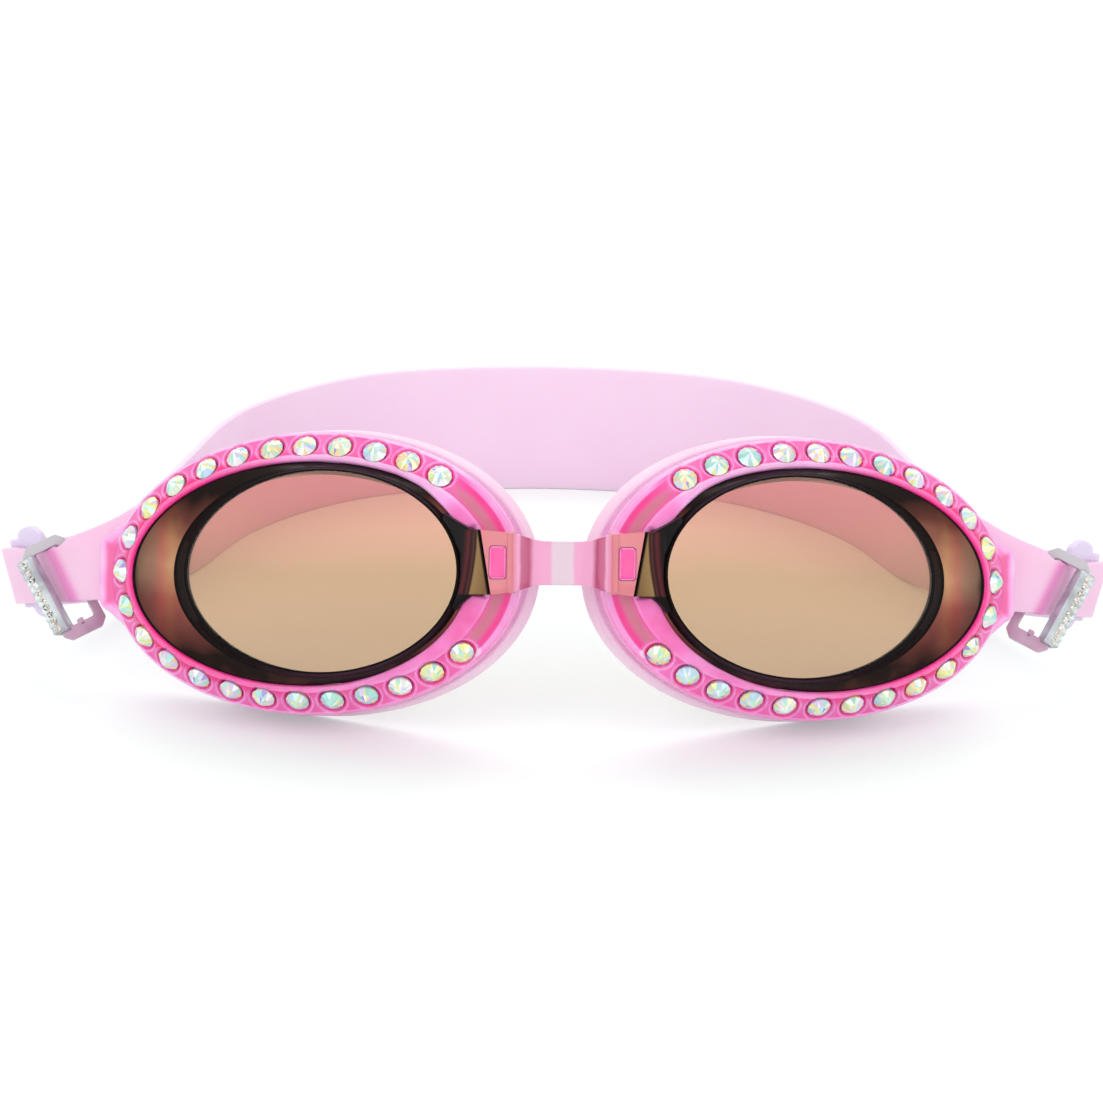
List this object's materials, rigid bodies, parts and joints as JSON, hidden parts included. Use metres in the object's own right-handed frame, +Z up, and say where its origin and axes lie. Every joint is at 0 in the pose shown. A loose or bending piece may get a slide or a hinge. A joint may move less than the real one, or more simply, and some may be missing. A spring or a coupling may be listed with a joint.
{
  "type": "swim goggles",
  "caption": "Swim goggles: two mirrored eye cups in stone-set rims with soft seals, joined by a flexible nose bridge and held by a stretch strap with ring buckles.",
  "frame": {"origin": "bottom centre of the bounding box, on the table that the goggles stand on", "axes": "+X along the line between the eyes, -Y out of the lenses, +Z up"},
  "size_m": [0.1784, 0.1348, 0.0457],
  "materials": {
    "lens": "mirror-coated polycarbonate, rose to gold",
    "bezel": "clear pink, glossy",
    "gasket": "translucent silicone",
    "stone": "faceted, with a rainbow coating",
    "nose_bridge": "clear pink, flexible",
    "head_strap": "translucent silicone",
    "buckle_frame": "grey to mauve, glossy",
    "buckle_lever": "satin silver"
  },
  "bodies": {
    "left_eye": {"bezel_left": "bezel", "buckle_frame_left": "buckle_frame", "gasket_left": "gasket", "lens_left": "lens", "stone_left_01": "stone", "stone_left_02": "stone", "stone_left_03": "stone", "stone_left_04": "stone", "stone_left_05": "stone", "stone_left_06": "stone", "stone_left_07": "stone", "stone_left_08": "stone", "stone_left_09": "stone", "stone_left_10": "stone", "stone_left_11": "stone", "stone_left_12": "stone", "stone_left_13": "stone", "stone_left_14": "stone", "stone_left_15": "stone", "stone_left_16": "stone", "stone_left_17": "stone", "stone_left_18": "stone", "stone_left_19": "stone", "stone_left_20": "stone", "stone_left_21": "stone", "stone_left_22": "stone", "stone_left_23": "stone", "stone_left_24": "stone", "nose_bridge": "nose_bridge", "head_strap": "head_strap"},
    "right_eye": {"bezel_right": "bezel", "buckle_frame_right": "buckle_frame", "gasket_right": "gasket", "lens_right": "lens", "stone_right_01": "stone", "stone_right_02": "stone", "stone_right_03": "stone", "stone_right_04": "stone", "stone_right_05": "stone", "stone_right_06": "stone", "stone_right_07": "stone", "stone_right_08": "stone", "stone_right_09": "stone", "stone_right_10": "stone", "stone_right_11": "stone", "stone_right_12": "stone", "stone_right_13": "stone", "stone_right_14": "stone", "stone_right_15": "stone", "stone_right_16": "stone", "stone_right_17": "stone", "stone_right_18": "stone", "stone_right_19": "stone", "stone_right_20": "stone", "stone_right_21": "stone", "stone_right_22": "stone", "stone_right_23": "stone", "stone_right_24": "stone"},
    "left_lever": {"buckle_lever_left": "buckle_lever"},
    "right_lever": {"buckle_lever_right": "buckle_lever"}
  },
  "joints": [
    {"name": "bridge_flex", "type": "hinge", "parent": "left_eye", "child": "right_eye", "pos_m": [0, -0.06636, 0.03013], "axis": [0, 0.3256, 0.9455], "range_deg": [-12, 12], "stiffness_Nm_per_rad": 0.12, "deforming": ["nose_bridge", "head_strap"]},
    {"name": "lever_left", "type": "hinge", "parent": "left_eye", "child": "left_lever", "pos_m": [-0.08058, -0.03672, 0.01548], "axis": [-0.4871, 0.3969, 0.778], "range_deg": [0, 60]},
    {"name": "lever_right", "type": "hinge", "parent": "right_eye", "child": "right_lever", "pos_m": [0.08058, -0.03672, 0.01548], "axis": [-0.4871, -0.3969, -0.778], "range_deg": [0, 60]}
  ]
}
